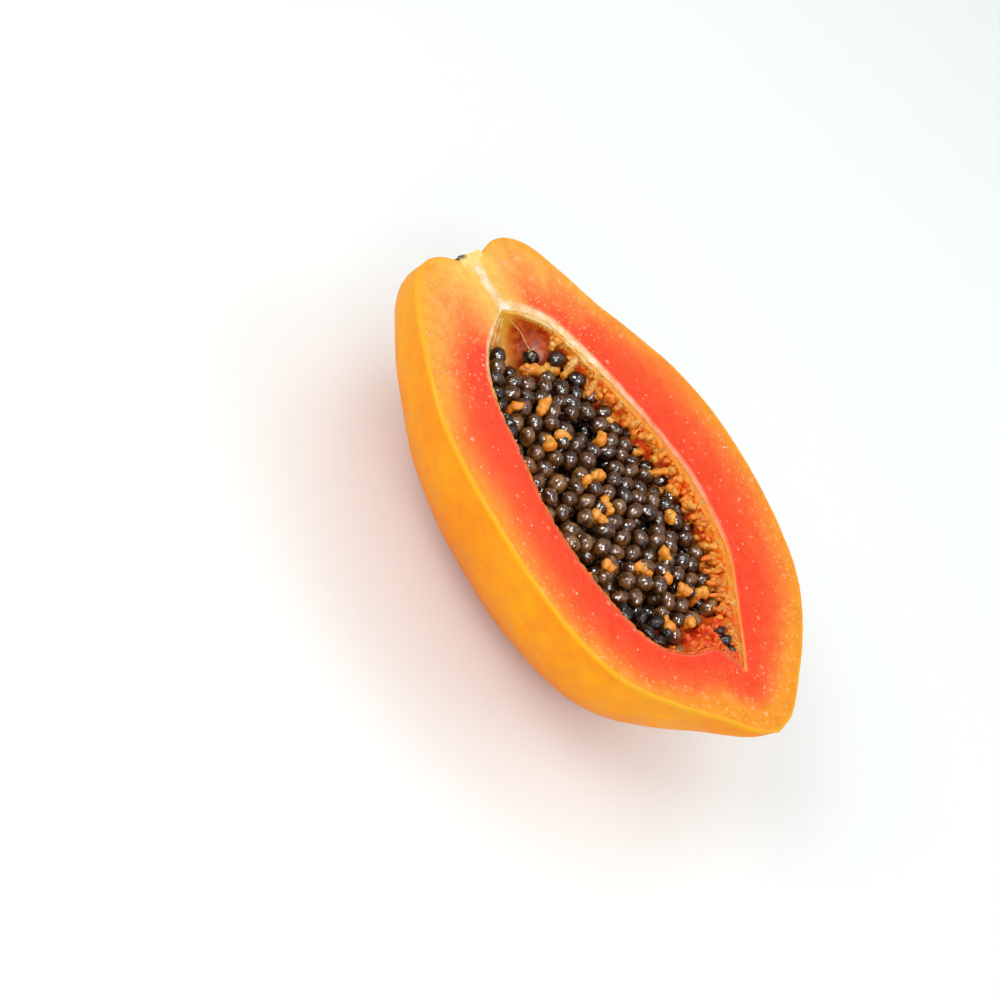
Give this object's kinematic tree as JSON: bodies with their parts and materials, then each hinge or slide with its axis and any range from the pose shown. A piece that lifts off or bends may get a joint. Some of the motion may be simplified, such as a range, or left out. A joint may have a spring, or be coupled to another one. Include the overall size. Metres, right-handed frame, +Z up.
{
  "type": "papaya half",
  "caption": "Half of a ripe papaya, cut lengthwise: golden rind, salmon flesh with a seed-filled hollow, and a short stub of the stalk.",
  "frame": {"origin": "middle of the footprint, on the surface that the half lies on", "axes": "+X from the stalk end to the blossom end, +Z up, out of the cut face"},
  "size_m": [0.1916, 0.12, 0.0591],
  "materials": {
    "flesh_and_rind": "moist",
    "pulp": "moist",
    "seeds": "glossy",
    "stalk_stub": "dry"
  },
  "bodies": {
    "root": {"flesh_and_rind": "flesh_and_rind", "pulp": "pulp", "seeds": "seeds", "stalk_stub": "stalk_stub"}
  },
  "joints": []
}
